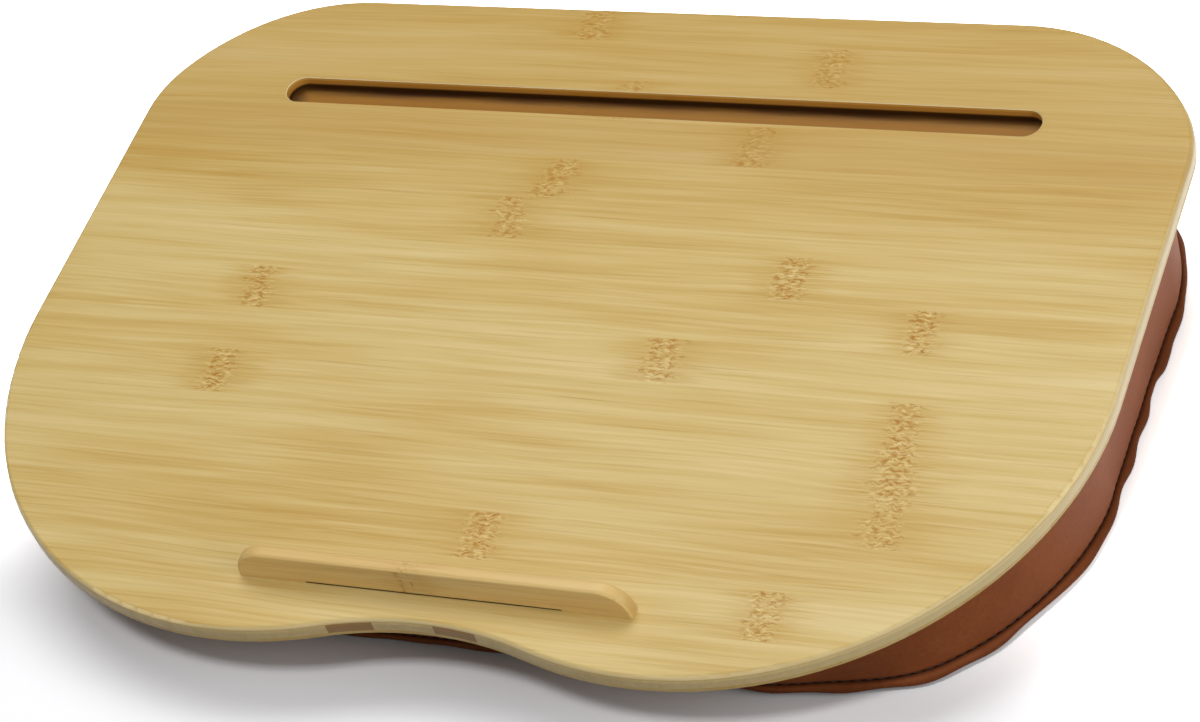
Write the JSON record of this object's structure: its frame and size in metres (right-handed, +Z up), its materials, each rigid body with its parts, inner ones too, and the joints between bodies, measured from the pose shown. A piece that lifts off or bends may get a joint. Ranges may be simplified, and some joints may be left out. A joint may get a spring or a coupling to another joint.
{
  "type": "lap tray with cushion",
  "caption": "Bamboo lap tray with a waved front, a tablet slot and a laptop ledge, on a wedge-shaped leatherette cushion with a zip.",
  "frame": {"origin": "on the surface that the cushion rests on, under the middle of the part's box", "axes": "+X to the user's right, +Y away from the user, +Z up"},
  "size_m": [0.44, 0.3152, 0.0732],
  "materials": {
    "bamboo": "satin lacquer",
    "bamboo_core": "satin lacquer",
    "bamboo_back": "satin lacquer",
    "bamboo_bar": "satin lacquer",
    "dowel": "plain",
    "leatherette": "soft sheen",
    "foam": "open-cell foam",
    "hook_loop": "napped",
    "zip_tape": "woven",
    "zip_teeth": "moulded",
    "zip_metal": "aged"
  },
  "bodies": {
    "cushion": {"cushion_top_panel": "leatherette", "side_band": "leatherette", "zip_band_upper": "leatherette", "zip_band_lower": "leatherette", "cushion_bottom_panel": "leatherette", "foam_wedge": "foam", "loop_pads": "hook_loop", "zip_tape_upper": "zip_tape", "zip_tape_lower": "zip_tape", "zip_teeth_upper": "zip_teeth", "zip_teeth_lower": "zip_teeth", "zip_stops": "zip_metal"},
    "tray": {"top_ply": "bamboo", "core_strips": "bamboo_core", "bottom_ply": "bamboo_back", "ledge_bar": "bamboo_bar", "ledge_dowels": "dowel", "hook_pads": "hook_loop"},
    "slider": {"zip_slider": "zip_metal"},
    "pull": {"zip_pull": "zip_metal"}
  },
  "joints": [
    {"name": "tray_lift", "type": "slide", "parent": "cushion", "child": "tray", "axis": [0, -0.1219, 0.9925], "range_m": [0, 0.06]},
    {"name": "zip_run", "type": "slide", "parent": "cushion", "child": "slider", "axis": [1, 0, 0], "range_m": [0, 0.223]},
    {"name": "pull_swing", "type": "hinge", "parent": "slider", "child": "pull", "pos_m": [-0.1115, 0.15424, 0.03427], "axis": [0, -0.1219, 0.9925], "range_deg": [0, 180]}
  ]
}
